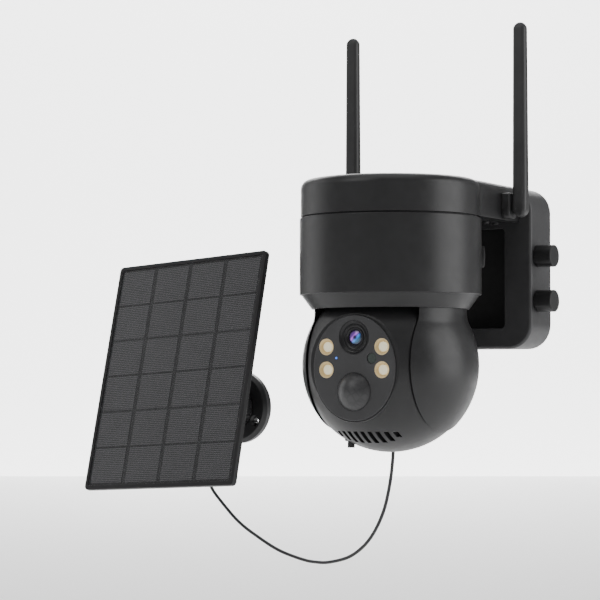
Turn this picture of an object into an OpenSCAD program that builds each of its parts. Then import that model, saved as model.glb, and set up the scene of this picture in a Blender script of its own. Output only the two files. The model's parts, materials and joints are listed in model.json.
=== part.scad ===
// Solar-powered security camera: a pan and tilt ball camera on a wall bracket, with two
// folding antennas, and a solar panel on its own wall base, joined by a charging lead.
// The origin is the centre of the camera's wall-plate bolt pattern, on the wall (Y = 0).
// +Z is up, the camera looks along -Y.

/* [Camera drum] */
// Distance from the wall to the axis of the drum
drum_reach = 96.5; // [95:0.5:98]
// Outer radius of the drum
drum_r = 49.3; // [49.2:0.1:49.6]
// Radius of the top cover
cover_r = 48.7; // [48.4:0.1:48.8]
// Height of the line where drum and top cover meet
seam_z = 25; // [24.5:0.5:25.5]
// Height of the flat top of the cover
cover_top_z = 45.5; // [45.5:0.1:46]
// Rounding of the cover's top edge, which is built as a chamfer
cover_fillet = 5; // [3:0.5:6]
// Wall thickness of the plastic shells
wall = 2.2; // [2:0.1:2.4]

/* [Wall bracket] */
// Width of the box behind the arm
box_w = 100; // [98:1:102]
// Height of the box
box_h = 91; // [90:1:91]
// Depth of the box from the wall
box_d = 25.5; // [25:0.5:26]
// Corner radius of the box
box_corner_r = 14; // [12:1:16]
// Half width of the window in the box's front
window_half_w = 33.4; // [32:0.1:34]
// Distance between the wall screws across the plate
plate_bolts_x = 50; // [46:1:52]
// Distance between the wall screws up the plate
plate_bolts_z = 36; // [32:1:38]
// Radius of the wall screw holes
plate_bolt_r = 2.2; // [2:0.1:2.5]

/* [Ball head] */
// Depth of the ball's centre below the middle of the wall plate
ball_drop = 54.8; // [54.5:0.1:55]
// Radius of the yoke's two outer cheeks
yoke_r = 47.9; // [47.8:0.1:48.2]
// Radius of the tilting head
head_r = 47; // [46.8:0.1:47]
// Half width of the tilting head
head_half_w = 31.2; // [30.8:0.1:31.3]
// Radius of the yoke's neck
neck_r = 41.3; // [41:0.1:41.4]
// Distance from the ball's centre to the front of the face plate
face_front = 39.2; // [39:0.1:39.5]
// Half width of the oval face plate
face_half_w = 25; // [24.5:0.1:25]
// Half height of the oval face plate
face_half_h = 28; // [27.5:0.1:28]

/* [Antennas] */
// Length of an antenna above its hinge pin
antenna_len = 103.5; // [90:0.5:110]
// Radius of an antenna at its foot
antenna_foot_r = 4.1; // [3.8:0.1:4.2]
// Radius of an antenna at its tip
antenna_tip_r = 3.7; // [3.4:0.1:3.9]

/* [Solar panel] */
// Width of the panel
panel_w = 118; // [112:0.1:122]
// Height of the panel
panel_h = 141.8; // [136:0.1:146]
// Thickness of the panel's tray
panel_t = 3.8; // [3.4:0.1:5]
// Angle that the panel is turned to the camera's right
panel_turn = 7.7; // [6:0.1:9]
// Angle that the panel leans back
panel_lean = 16.2; // [14:0.1:18]
// Angle that the panel is rolled about its own face
panel_roll = 3.4; // [2:0.1:5]
// Columns of solar cells
cell_columns = 4; // [3:1:5]
// Rows of solar cells
cell_rows = 6; // [4:1:8]
// Radius of the panel's wall base
base_r = 22.5; // [22:0.1:23]

/* [Hidden] */
$fn = 96;
eps = 0.02;
ball_z = -ball_drop;

// drum
drum_floor_z = -17;
cone_top_r = drum_r - 1;
cone_bottom_r = neck_r + 1.4;
cone_bottom_z = -24.6;
neck_hole_r = neck_r + 0.35;
shelf_z = -14.8;
gap = 0.4;
deck_r = 44;
deck_z = 2;
deck_t = 2;

// arm between the drum and the bracket box, widths at its two ends
arm_front_half_w = 45.9;
arm_back_half_w = 42.6;
arm_start_y = 14;
arm_end_y = drum_reach - box_d;
arm_floor_t = 1.9;
arm_screws = [for (x = [-30, 30], y = [54, 66]) [x, y]];
bracket_screw_x = [-27, 0, 27];
bracket_screw_z = 35;

// window of the bracket box and the clamp knobs
window_top_z = 22.3;
window_bottom_z = -33.8;
box_wall = 2.5;
plate_w = 84;
plate_h = 76;
plate_t = 2.5;
knob_y = -17.2;
knob_zs = [6.5, -18.7];
knob_r = 6.2;
knob_len = 10.6;
knob_shaft_r = 2;

// power button and charging socket, angles from straight back
button_angle = 58;
button_r = 6;
button_z = 4;
socket_angle = 28.1;
socket_z = 12;
plug_drop_r = 57;

// pan drive
pan_module = 1;
pan_gear_teeth = 48;
pan_pinion_teeth = 12;
pan_centres = pan_module * (pan_gear_teeth + pan_pinion_teeth) / 2;
crown_top_z = ball_z + 51.5;

// tilt drive
tilt_module = 0.6;
tilt_gear_teeth = 40;
tilt_pinion_teeth = 13;
tilt_centres = tilt_module * (tilt_gear_teeth + tilt_pinion_teeth) / 2;
hub_r = 6;
cheek_x = 32;
cheek_t = 2;
cheek_inner_r = yoke_r - wall;
slice_top = ball_drop + cone_bottom_z + 0.4;
head_inner_r = head_r - wall;
head_side_t = 2;
head_split_y = 14;

// face, positions from the centre of the face plate
face_drop = 1.6;
face_t = 2;
lens_v = 16.1;
lens_barrel_r = 7;
led_u = 16.9;
led_vs = [11.1, -1];
led_cup_r = 4.15;
led_cup_depth = 1.9;
pir_v = -12.6;
pir_r = 10.1;
pir_rise = 5.5;
sensor_uv = [10.8, 5];
sensor_r = 2.9;
indicator_uv = [-10.8, 5.2];
indicator_r = 0.6;
vent_pitch = 4.35;
vent_count_half = 4;
vent_w = 2.4;
vent_top_z = -35.3;
card_xy = [-18.3, -11];

// antennas
antenna_x = 53.5;
antenna_y = -45.5;
antenna_pin_z = 31;
antenna_pin_r = 1.5;

// solar panel's wall base and ball joint
base_x = -161.4;
base_z = -79.9;
base_t = 6.3;
base_ball_y = -15;
base_bolt_pcd = 33;
base_bolt_r = 1.7;
stud_ball_r = 8;
liner_in_r = stud_ball_r + 0.05;
liner_out_r = 8.6;
socket_r = liner_out_r + 0.05;
cup_r = 11.4;
collar_r = 13.4;
panel_reach = 55.6;
panel_shift_x = 3.6;
panel_shift_z = 6.5;
frame_lip = 2.6;
pocket_depth = 1.4;
column_gap = 3;
row_gap = 1;
boss_r = 14;
boss_t = 7;
relief_angle = 245;
relief_len = 8;
relief_y = -3.2;

// charging lead: hangs from the plug behind the ball, sags, and rises to the panel's base
cable_d = 2;
cable_sides = 8;
cable_steps = 3;
cable_route = [
    [-27, -46, 0], [-27, -46, -12], [-27, -46, -28], [-27, -46, -44], [-27, -46, -60],
    [-27, -46, -76], [-27, -46, -92], [-27.5, -45.5, -107], [-31.5, -43, -125],
    [-38, -40, -141], [-48, -38, -155.5], [-61, -36, -165], [-76, -34, -169.3],
    [-87, -32, -170], [-98, -30, -169], [-115.5, -28, -164.6], [-132.5, -26, -157],
    [-147, -24, -149], [-160, -22, -138.5], [-171, -18, -129.5], [-177.5, -12, -122],
    [-178.8, -6, -116], [-176.8, -3.4, -112.5], [-174.6, -3.2, -108.4]
];

// ---- frames ----

module at_drum() translate([0, -drum_reach, 0]) children();

module at_ball() translate([0, -drum_reach, ball_z]) children();

// local +Z points out of the face plate, local X across it, local Y up it
module on_face(depth = 0)
    at_ball() translate([0, -face_front + depth, -face_drop]) rotate([90, 0, 0]) children();

// local +Z points radially out of the drum wall, turned from straight back
module on_drum_wall(angle, z)
    at_drum() translate([0, 0, z]) rotate([0, 0, 90 - angle]) rotate([0, 90, 0]) children();

module at_base() translate([base_x, 0, base_z]) children();

// the panel's own frame at its ball joint: its face looks along local -Y
module at_panel()
    translate([base_x, base_ball_y, base_z])
        rotate([0, 0, -panel_turn]) rotate([-panel_lean, 0, 0]) rotate([0, -panel_roll, 0])
            children();

// ---- shared shapes ----

module rounded_rect(w, h, r) {
    square([w - 2 * r, h], center = true);
    square([w, h - 2 * r], center = true);
    for (x = [-1, 1], y = [-1, 1]) translate([x * (w / 2 - r), y * (h / 2 - r)]) circle(r);
}

module ellipse(a, b)
    polygon([for (i = [0:71]) [a * cos(i * 5), b * sin(i * 5)]]);

module tube(r_out, r_in, h)
    difference() {
        cylinder(r = r_out, h = h);
        translate([0, 0, -1]) cylinder(r = r_in, h = h + 2);
    }

// pan-head screw along -Z with its head on the plane z = 0
module screw(r, len, head_r, head_h) {
    translate([0, 0, -len]) cylinder(r = r, h = len + eps, $fn = 32);
    difference() {
        cylinder(r = head_r, h = head_h, $fn = 32);
        for (a = [0, 90]) rotate([0, 0, a])
            translate([-head_r * 0.6, -0.25, head_h / 2]) cube([head_r * 1.2, 0.5, head_h]);
    }
}

function turned(p, a) = [p.x * cos(a) - p.y * sin(a), p.x * sin(a) + p.y * cos(a)];

function involute(base, t) =
    base * [cos(t) + t * PI / 180 * sin(t), sin(t) - t * PI / 180 * cos(t)];

// spur gear outline with one tooth centred on +X
module gear_outline(m, teeth, play = 0.2) {
    pressure = 20;
    pitch = m * teeth / 2;
    base = pitch * cos(pressure);
    tip = pitch + 0.85 * m;
    root = pitch - 1.2 * m;
    start_polar = tan(pressure) * 180 / PI - pressure;
    half = 90 / teeth - play / (2 * pitch) * 180 / PI;
    t_tip = sqrt(pow(tip / base, 2) - 1) * 180 / PI;
    t_low = root > base ? sqrt(pow(root / base, 2) - 1) * 180 / PI : 0;
    flank = [for (i = [0:2])
        turned(involute(base, t_low + (t_tip - t_low) * i / 2), -half - start_polar)];
    foot = root > base ? [] : [turned([root, 0], -half - start_polar)];
    side = concat(foot, flank);
    last = len(side) - 1;
    polygon([for (k = [0:teeth - 1], i = [0:2 * last + 1])
        turned(i <= last ? side[i] : [side[2 * last + 1 - i].x, -side[2 * last + 1 - i].y],
               k * 360 / teeth)]);
}

// plan of the arm, drawn in the drum's frame, shrunk by inset on both sides
module arm_plan(inset, back)
    polygon([
        [-arm_front_half_w + inset, arm_start_y], [arm_front_half_w - inset, arm_start_y],
        [arm_back_half_w - inset, back], [-arm_back_half_w + inset, back]
    ]);

// ---- camera housing ----

module cover_outside() {
    edge = cover_fillet * 0.58;
    translate([0, 0, seam_z + gap]) cylinder(r = cover_r, h = cover_top_z - edge - seam_z - gap);
    translate([0, 0, cover_top_z - edge]) cylinder(r1 = cover_r, r2 = cover_r - edge, h = edge);
    translate([0, 0, seam_z + gap])
        linear_extrude(cover_top_z - seam_z - gap) arm_plan(0, arm_end_y);
}

module top_cover() color("#2f2f31") at_drum() {
    difference() {
        cover_outside();
        cylinder(r = cover_r - wall, h = cover_top_z - wall);
        linear_extrude(cover_top_z - wall) arm_plan(wall, arm_end_y - wall);
        for (x = bracket_screw_x) translate([x, arm_end_y - 10, bracket_screw_z])
            rotate([-90, 0, 0]) cylinder(r = 1.3, h = 12, $fn = 32);
    }
    for (p = arm_screws) translate([p.x, p.y, seam_z + gap + arm_floor_t])
        tube(3.4, 1.25, cover_top_z - wall - seam_z - gap - arm_floor_t + eps, $fn = 32);
    for (x = bracket_screw_x) translate([x, arm_end_y - wall - 6, bracket_screw_z])
        rotate([-90, 0, 0]) tube(3.4, 1.3, 6 + eps, $fn = 32);
}

module cover_gasket() color("#151515") at_drum()
    translate([0, 0, seam_z - gap]) tube(47.9, 45.4, 2 * gap);

module drum_shell() color("#2d2d2f") difference() {
    at_drum() rotate_extrude() polygon([
        [drum_r, seam_z - gap], [drum_r - wall, seam_z - gap], [drum_r - wall, shelf_z],
        [neck_hole_r, shelf_z], [neck_hole_r, cone_bottom_z], [cone_bottom_r, cone_bottom_z],
        [cone_top_r, drum_floor_z], [drum_r, drum_floor_z]
    ]);
    on_drum_wall(button_angle, button_z) cylinder(r = button_r + 0.3, h = 60);
    on_drum_wall(-socket_angle, socket_z) cylinder(r = 3.2, h = 60);
}

module arm_floor() color("#29292b") at_drum() difference() {
    translate([0, 0, seam_z + gap]) linear_extrude(arm_floor_t) difference() {
        arm_plan(wall + 0.1, arm_end_y - wall - 0.1);
        circle(48.1);
    }
    for (p = arm_screws) translate([p.x, p.y, 0]) cylinder(r = 1.25, h = 60, $fn = 32);
}

module arm_screws() color("#8c8c90") at_drum()
    for (p = arm_screws) translate([p.x, p.y, seam_z + gap])
        rotate([180, 0, 0]) screw(1.2, 10, 2.4, 1.3);

module bracket_box() color("#303032") difference() {
    rotate([90, 0, 0]) linear_extrude(box_d) rounded_rect(box_w, box_h, box_corner_r);
    translate([0, 1, 0]) rotate([90, 0, 0]) linear_extrude(box_d - box_wall + 1)
        rounded_rect(box_w - 2 * box_wall, box_h - 2 * box_wall, box_corner_r - box_wall);
    translate([0, -box_d / 2, (window_top_z + window_bottom_z) / 2]) rotate([90, 0, 0])
        linear_extrude(box_d) rounded_rect(2 * window_half_w, window_top_z - window_bottom_z, 2.3);
    for (z = knob_zs) translate([box_w / 2 - 10, knob_y, z]) rotate([0, 90, 0])
        cylinder(r = knob_shaft_r + 0.05, h = 20, $fn = 48);
    for (x = bracket_screw_x) translate([x, -box_d - 1, bracket_screw_z]) rotate([-90, 0, 0])
        cylinder(r = 1.3, h = 6, $fn = 32);
}

module bracket_screws() color("#8c8c90")
    for (x = bracket_screw_x) translate([x, -box_d + box_wall, bracket_screw_z])
        rotate([-90, 0, 0]) screw(1.25, 8, 2.6, 1.4);

module wall_plate() color("#3a3a3c") {
    difference() {
        rotate([90, 0, 0]) linear_extrude(plate_t) rounded_rect(plate_w, plate_h, 8);
        for (x = [-1, 1], z = [-1, 1])
            translate([x * plate_bolts_x / 2, 1, z * plate_bolts_z / 2]) rotate([90, 0, 0])
                cylinder(r = plate_bolt_r, h = plate_t + 2, $fn = 48);
    }
    for (side = [-1, 1]) difference() {
        translate([side > 0 ? plate_w / 2 - plate_t : -plate_w / 2, -21.5, -28])
            cube([plate_t, 21.5 - plate_t + eps, 56]);
        for (z = knob_zs) translate([30, knob_y, z]) rotate([0, 90, 0])
            cylinder(r = knob_shaft_r + 0.05, h = 20, $fn = 48);
    }
}

module clamp_knob(z) translate([box_w / 2 + 0.3, knob_y, z]) rotate([0, 90, 0]) {
    cylinder(r = knob_r, h = knob_len - 0.3);
    translate([0, 0, -13]) cylinder(r = knob_shaft_r, h = 13 + eps, $fn = 48);
}

module clamp_knob_upper() color("#3c3c3e") clamp_knob(knob_zs[0]);

module clamp_knob_lower() color("#3c3c3e") clamp_knob(knob_zs[1]);

// ---- inside the drum ----

module motor_deck() color("#4a4a4c") difference() {
    at_drum() difference() {
        translate([0, 0, deck_z]) union() {
            cylinder(r = deck_r, h = deck_t);
            for (x = [-22, 22], y = [-3, 19]) translate([x, y, 0]) cylinder(r = 2, h = 6, $fn = 32);
        }
        translate([0, 0, -1]) cylinder(r = 7, h = 10);
        translate([0, -pan_centres, 0]) cylinder(r = 7.4, h = 10);
    }
    on_drum_wall(button_angle, button_z) translate([0, 0, 34]) cylinder(r = 8.6, h = 20);
}

module pan_motor() color("#b9bcc0") at_drum() translate([0, -pan_centres, 0]) {
    translate([0, 0, deck_z + deck_t]) cylinder(r = 13.2, h = 17.5);
    translate([0, 0, -2.6]) cylinder(r = 1.5, h = deck_z + deck_t + 2.6 + eps, $fn = 32);
}

module pan_pinion() color("#e8e4d8") at_drum() translate([0, -pan_centres, crown_top_z + 0.4])
    difference() {
        linear_extrude(3.2) rotate([0, 0, 90 + 180 / pan_pinion_teeth])
            gear_outline(pan_module, pan_pinion_teeth);
        translate([0, 0, -1]) cylinder(r = 1.55, h = 6, $fn = 32);
    }

module pan_washer() color("#d9d9d4") at_drum() translate([0, 0, shelf_z]) tube(46, 42, 0.4);

module main_board() color("#1f5a36") at_drum() {
    translate([-25, -6, 8]) difference() {
        cube([50, 28, 1.6]);
        for (x = [3, 47], y = [3, 25]) translate([x, y, -1]) cylinder(r = 1.2, h = 4, $fn = 32);
    }
    translate([-9, 1, 9.6 - eps]) cube([13, 13, 1.5]);
    translate([8, 2, 9.6 - eps]) cube([9, 11, 1.2]);
    translate([-20, 8, 9.6 - eps]) cube([7, 10, 5]);
}

module battery_cradle() color("#3f3f41") at_drum() {
    difference() {
        translate([-36.5, -19.5, 22.4]) cube([73, 39, 10]);
        translate([-33, -22, 23.8]) cube([66, 44, 12]);
    }
    for (x = [-1, 1], y = [-1, 1])
        translate([x * 35 - 1.5, y * 12 - 2.5, deck_z + deck_t]) cube([3, 5, 18.4 + eps]);
}

module battery_cells() color("#3d6ea5") at_drum()
    for (y = [-9.4, 9.4]) translate([-32.5, y, 33.1]) rotate([0, 90, 0])
        cylinder(r = 9.2, h = 65);

module power_button() color("#222224") on_drum_wall(button_angle, button_z) {
    translate([0, 0, 44.4]) cylinder(r = button_r, h = drum_r + 1.6 - 44.4);
    translate([0, 0, 44.4]) cylinder(r = button_r + 1.2, h = 1.7);
}

module button_switch() color("#77777a") on_drum_wall(button_angle, button_z)
    translate([-3, -4, 37.5]) cube([6, 8, 5.7]);

module charge_socket() color("#1b1b1d") on_drum_wall(-socket_angle, socket_z) difference() {
    translate([-5, -5, 33]) cube([10, 10, 13.5]);
    translate([0, 0, 38]) cylinder(r = 2.8, h = 12, $fn = 48);
}

module charge_plug() color("#1d1d1f") {
    on_drum_wall(-socket_angle, socket_z) {
        translate([0, 0, 39]) cylinder(r = 2.7, h = 11, $fn = 48);
        translate([0, 0, drum_r + 0.2]) cylinder(r = 4.6, h = plug_drop_r - drum_r - 0.2);
        translate([0, 0, plug_drop_r]) sphere(r = 4.6);
    }
    translate([cable_route[0].x, cable_route[0].y, 0])
        cylinder(r1 = 1.8, r2 = 4.2, h = socket_z, $fn = 48);
}

// ---- charging lead ----

function spline(a, b, c, d, t) =
    0.5 * (2 * b + (c - a) * t + (2 * a - 5 * b + 4 * c - d) * t * t
           + (3 * b - a - 3 * c + d) * t * t * t);

function unit(v) = v / norm(v);

module tube_along(route, d, sides, steps) {
    n = len(route);
    line = [for (i = [0:n - 2], s = [0:steps - 1])
        spline(route[max(i - 1, 0)], route[i], route[i + 1], route[min(i + 2, n - 1)], s / steps)];
    path = concat(line, [route[n - 1]]);
    m = len(path);
    rings = [for (i = [0:m - 1])
        let (along = unit(path[min(i + 1, m - 1)] - path[max(i - 1, 0)]),
             side = unit(cross(along, [0, 1, 0.001])), up = cross(side, along))
        for (k = [0:sides - 1])
            path[i] + d / 2 * (cos(k * 360 / sides) * side + sin(k * 360 / sides) * up)];
    skin = [for (i = [0:m - 2], k = [0:sides - 1])
        [i * sides + k, i * sides + (k + 1) % sides,
         (i + 1) * sides + (k + 1) % sides, (i + 1) * sides + k]];
    ends = [[for (k = [sides - 1:-1:0]) k], [for (k = [0:sides - 1]) (m - 1) * sides + k]];
    polyhedron(points = rings, faces = concat(skin, ends));
}

module solar_cable() color("#2a2a2c")
    tube_along(cable_route, cable_d, cable_sides, cable_steps);

// ---- antennas ----

module antenna_mount(side) difference() {
    union() {
        translate([side > 0 ? 43.3 : -49, antenna_y, antenna_pin_z]) rotate([0, 90, 0])
            cylinder(r = 5.2, h = 5.7);
        translate([side > 0 ? 43.3 : -49, antenna_y - 5.2, antenna_pin_z])
            cube([5.7, 10.4, 9]);
    }
    at_drum() linear_extrude(60) arm_plan(0, arm_end_y);
    translate([side * 40, antenna_y, antenna_pin_z]) rotate([0, side * 90, 0])
        cylinder(r = antenna_pin_r + 0.05, h = 20, $fn = 48);
}

module antenna_mount_left() color("#262628") antenna_mount(-1);

module antenna_mount_right() color("#262628") antenna_mount(1);

module antenna_pins() color("#9a9a9e")
    for (side = [-1, 1]) translate([side * 44.6, antenna_y, antenna_pin_z])
        rotate([0, side * 90, 0]) cylinder(r = antenna_pin_r, h = 12.6, $fn = 48);

module antenna(side) translate([side * antenna_x, antenna_y, antenna_pin_z]) difference() {
    union() {
        translate([-antenna_foot_r, 0, 0]) rotate([0, 90, 0])
            cylinder(r = 4.6, h = 2 * antenna_foot_r);
        cylinder(r1 = antenna_foot_r, r2 = antenna_tip_r, h = antenna_len - antenna_tip_r);
        translate([0, 0, antenna_len - antenna_tip_r]) sphere(r = antenna_tip_r);
    }
    translate([-10, 0, 0]) rotate([0, 90, 0])
        cylinder(r = antenna_pin_r + 0.05, h = 20, $fn = 48);
}

module antenna_left() color("#2b2b2d") antenna(-1);

module antenna_right() color("#2b2b2d") antenna(1);

// ---- yoke, turned by the pan motor ----

module yoke_shell() color("#2e2e30") at_ball() difference() {
    union() {
        rotate([0, 90, 0]) sphere(r = yoke_r);
        translate([0, 0, 20]) cylinder(r = neck_r, h = ball_drop - 14.2 - 20);
    }
    translate([0, 0, 28]) cylinder(r = neck_r - 2.5, h = 40);
    difference() {
        rotate([0, 90, 0]) sphere(r = cheek_inner_r);
        cube([2 * (cheek_x + cheek_t), 120, 120], center = true);
    }
    intersection() {
        rotate([0, 90, 0]) sphere(r = yoke_r + 0.3);
        cube([2 * cheek_x, 120, 120], center = true);
    }
    translate([-cheek_x, -60, -60]) cube([2 * cheek_x, 120, 60 + slice_top]);
    translate([-cheek_x - cheek_t - 1, 0, 0]) rotate([0, 90, 0])
        cylinder(r = 31.5, h = 2 * (cheek_x + cheek_t + 1));
    for (a = [45:90:315]) rotate([0, 0, a]) translate([neck_r - 1.25, 0, 33])
        cylinder(r = 0.85, h = 20, $fn = 24);
}

module cheek_plate(side) at_ball() rotate([0, side * 90, 0]) difference() {
    union() {
        translate([0, 0, cheek_x]) cylinder(r = 31.4, h = cheek_t);
        translate([0, 0, 24]) cylinder(r = hub_r, h = cheek_x - 24 + eps);
    }
    translate([0, 0, 20]) cylinder(r = 3.5, h = 20, $fn = 48);
}

module cheek_plate_left() color("#39393b") cheek_plate(-1);

module cheek_plate_right() color("#39393b") cheek_plate(1);

module pan_crown() color("#454547") at_ball() difference() {
    rotate_extrude() polygon([
        [neck_r - 2.5, ball_drop - 14.1], [46, ball_drop - 14.1], [46, ball_drop - 12.3],
        [neck_r, ball_drop - 12.3], [neck_r, 51.5], [5, 51.5], [5, 49], [neck_r - 2.5, 49]
    ]);
    for (a = [45:90:315]) rotate([0, 0, a]) translate([neck_r - 1.25, 0, 30])
        cylinder(r = 0.85, h = 30, $fn = 24);
}

module crown_screws() color("#8c8c90") at_ball()
    for (a = [45:90:315]) rotate([0, 0, a]) translate([neck_r - 1.25, 0, 51.5])
        screw(0.8, 16, 1.6, 0.9);

module pan_gear() color("#e8e4d8") at_drum() translate([0, 0, crown_top_z]) difference() {
    linear_extrude(3.6) rotate([0, 0, -90]) gear_outline(pan_module, pan_gear_teeth);
    translate([0, 0, -1]) cylinder(r = 9, h = 6);
    for (a = [0:60:300]) rotate([0, 0, a]) translate([15.5, 0, -1]) cylinder(r = 3.6, h = 6);
}

// ---- tilt drive inside the head ----

module tilt_gear() color("#e8e4d8") at_ball() translate([25, 0, 0]) rotate([0, 90, 0])
    difference() {
        linear_extrude(3) rotate([0, 0, 90]) gear_outline(tilt_module, tilt_gear_teeth);
        translate([0, 0, -1]) cylinder(r = hub_r, h = 6);
    }

module tilt_pinion() color("#e8e4d8") at_ball() translate([25, tilt_centres, 0])
    rotate([0, 90, 0]) difference() {
        linear_extrude(3) rotate([0, 0, 270 + 180 / tilt_pinion_teeth])
            gear_outline(tilt_module, tilt_pinion_teeth);
        translate([0, 0, -1]) cylinder(r = 1.05, h = 6, $fn = 32);
    }

module tilt_motor() color("#b9bcc0") at_ball() translate([0, tilt_centres, 0]) rotate([0, 90, 0]) {
    translate([0, 0, 4]) cylinder(r = 9, h = 20);
    translate([0, 0, 20]) cylinder(r = 1, h = 8.2, $fn = 32);
}

// ---- tilting head ----

module head_solid(r, half_w) intersection() {
    rotate([0, 90, 0]) sphere(r = r);
    cube([2 * half_w, 3 * r, 3 * r], center = true);
}

module head_hollow() head_solid(head_inner_r, head_half_w - head_side_t);

function vent_h(i) = 6.2 - 3.4 * pow(abs(i) / vent_count_half, 3.4);

module head_front_shell() color("#2e2e30") difference() {
    union() {
        at_ball() difference() {
            head_solid(head_r, head_half_w);
            translate([-60, head_split_y, -60]) cube([120, 120, 120]);
        }
        on_face(face_t + 9) linear_extrude(10.2) ellipse(face_half_w + 0.9, face_half_h + 0.9);
    }
    at_ball() {
        head_hollow();
        rotate([0, 90, 0]) translate([0, 0, -40]) cylinder(r = hub_r + 0.05, h = 80);
        for (i = [-vent_count_half:vent_count_half])
            translate([i * vent_pitch - vent_w / 2, -45, vent_top_z - vent_h(i)])
                cube([vent_w, 35, vent_h(i)]);
        translate([card_xy.x - 1.85, card_xy.y - 4.2, -50]) cube([3.7, 8.4, 15]);
    }
    on_face(face_t) linear_extrude(10) ellipse(face_half_w + 0.15, face_half_h + 0.15);
    on_face(20) linear_extrude(20) ellipse(face_half_w - 2, face_half_h - 2);
}

module head_rear_shell() color("#2c2c2e") at_ball() difference() {
    intersection() {
        head_solid(head_r, head_half_w);
        translate([-60, head_split_y + 0.1, -60]) cube([120, 120, 120]);
    }
    head_hollow();
}

module face_holes() {
    translate([0, lens_v, -face_t - 1]) cylinder(r = lens_barrel_r + 0.1, h = 5);
    translate([0, lens_v, -1.5]) cylinder(r1 = lens_barrel_r + 0.1, r2 = 9.1, h = 1.5 + eps);
    for (u = [-led_u, led_u], v = led_vs) translate([u, v, -face_t - 1])
        cylinder(r = led_cup_r + 0.3, h = 5, $fn = 48);
    translate([sensor_uv.x, sensor_uv.y, -1.2]) cylinder(r = sensor_r, h = 5, $fn = 48);
    translate([indicator_uv.x, indicator_uv.y, -5]) cylinder(r = indicator_r, h = 9, $fn = 24);
    translate([0, pir_v, -face_t - 1]) cylinder(r = pir_r + 0.1, h = 5);
}

module face_plate() color("#454547") on_face() difference() {
    translate([0, 0, -face_t]) linear_extrude(face_t) ellipse(face_half_w, face_half_h);
    face_holes();
}

module lens_barrel() color("#1a1a1c") on_face() translate([0, lens_v, 0]) rotate_extrude()
    polygon([[lens_barrel_r, -20], [lens_barrel_r, -0.4], [6.2, -0.4], [5, -1.6],
             [4.9, -2.6], [4.1, -2.6], [4.1, -20]]);

module lens_glass() color("#7a5fd0") on_face() translate([0, lens_v, 0])
    rotate_extrude() polygon(concat([[0, -6]], [[4.05, -6]],
        [for (a = [0:15:90]) [4.05 * cos(a), -3.6 + 1.1 * sin(a)]]));

module led_reflectors() color("#e9d9ad") on_face()
    for (u = [-led_u, led_u], v = led_vs) translate([u, v, 0]) difference() {
        translate([0, 0, -3.4]) cylinder(r = led_cup_r + 0.2, h = 3.5, $fn = 48);
        translate([0, 0, -led_cup_depth]) cylinder(r1 = 3.0, r2 = led_cup_r, h = 2.1, $fn = 48);
        translate([0, 0, -2.9]) cylinder(r = 2.45, h = 3, $fn = 48);
    }

module led_emitters() color("#f4f2de") on_face()
    for (u = [-led_u, led_u], v = led_vs) translate([u, v, -2.85])
        cylinder(r = 2.35, h = 1.3, $fn = 48);

module indicator_light() color("#2f6bff") on_face()
    translate([indicator_uv.x, indicator_uv.y, -2]) cylinder(r = indicator_r - 0.05, h = 2, $fn = 24);

module light_sensor() color("#5a5f5a") on_face()
    translate([sensor_uv.x, sensor_uv.y, -1.15]) cylinder(r = sensor_r - 0.15, h = 0.6, $fn = 48);

module pir_lens() color("#434345") on_face() translate([0, pir_v, 0]) {
    sphere_r = (pir_r * pir_r + pir_rise * pir_rise) / (2 * pir_rise);
    difference() {
        intersection() {
            translate([0, 0, pir_rise - sphere_r]) sphere(r = sphere_r);
            translate([0, 0, 0]) cylinder(r = pir_r, h = pir_rise + 1);
        }
        translate([0, 0, pir_rise - sphere_r]) sphere(r = sphere_r - 1);
    }
    translate([0, 0, -face_t]) tube(pir_r, pir_r - 1.2, face_t + eps);
}

module pir_sensor() color("#c7c9cc") on_face() translate([0, pir_v, -5.2]) {
    cylinder(r = 4.1, h = 4.2, $fn = 48);
    cylinder(r = 4.7, h = 0.5, $fn = 48);
}

module sensor_board() color("#1f5a36") on_face(6.8) difference() {
    linear_extrude(1.5) ellipse(face_half_w - 3, face_half_h - 3);
    translate([0, lens_v, -1]) cylinder(r = lens_barrel_r + 0.2, h = 4);
}

module speaker() color("#2a2a2c") at_ball() rotate([90 + 57, 0, 0]) translate([0, 0, 33]) {
    cylinder(r = 13.5, h = 4.5);
    translate([0, 0, -4]) cylinder(r = 8, h = 4 + eps);
}

module card_cover() color("#1c1c1e") at_ball()
    translate([card_xy.x, card_xy.y, 0]) {
        translate([-1.65, -4, -41]) cube([3.3, 8, 2.5]);
        translate([-1.5, -1.4, -44.7]) cube([3, 2.8, 4]);
    }

// ---- solar panel ----

// solid of revolution about the base's axis: profile x is the radius, y the reach from the wall
module turned_on_base() at_base() rotate([90, 0, 0]) rotate_extrude() children();

module panel_base() color("#2b2b2d") difference() {
    turned_on_base() difference() {
        polygon([[0, 0], [base_r, 0], [base_r, base_t - 2], [base_r - 2, base_t], [cup_r, base_t],
                 [cup_r, -base_ball_y], [0, -base_ball_y]]);
        translate([0, -base_ball_y]) circle(r = socket_r);
    }
    for (a = [90, 210, 330]) at_base() rotate([0, -a, 0]) translate([base_bolt_pcd / 2, 1, 0])
        rotate([90, 0, 0]) {
            cylinder(r = base_bolt_r, h = 20, $fn = 48);
            translate([0, 0, base_t - 0.6]) cylinder(r1 = base_bolt_r, r2 = 3.4, h = 1.7, $fn = 48);
        }
}

module cable_relief() color("#1d1d1f") at_base() translate([0, relief_y, 0])
    rotate([0, 90 - relief_angle, 0]) difference() {
        translate([0, 0, base_r - 1.5]) cylinder(r1 = 2.9, r2 = 1.7, h = relief_len + 1.5, $fn = 48);
        rotate([90, 0, 0]) translate([0, 0, -20]) cylinder(r = base_r + 0.02, h = 40);
    }

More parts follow.
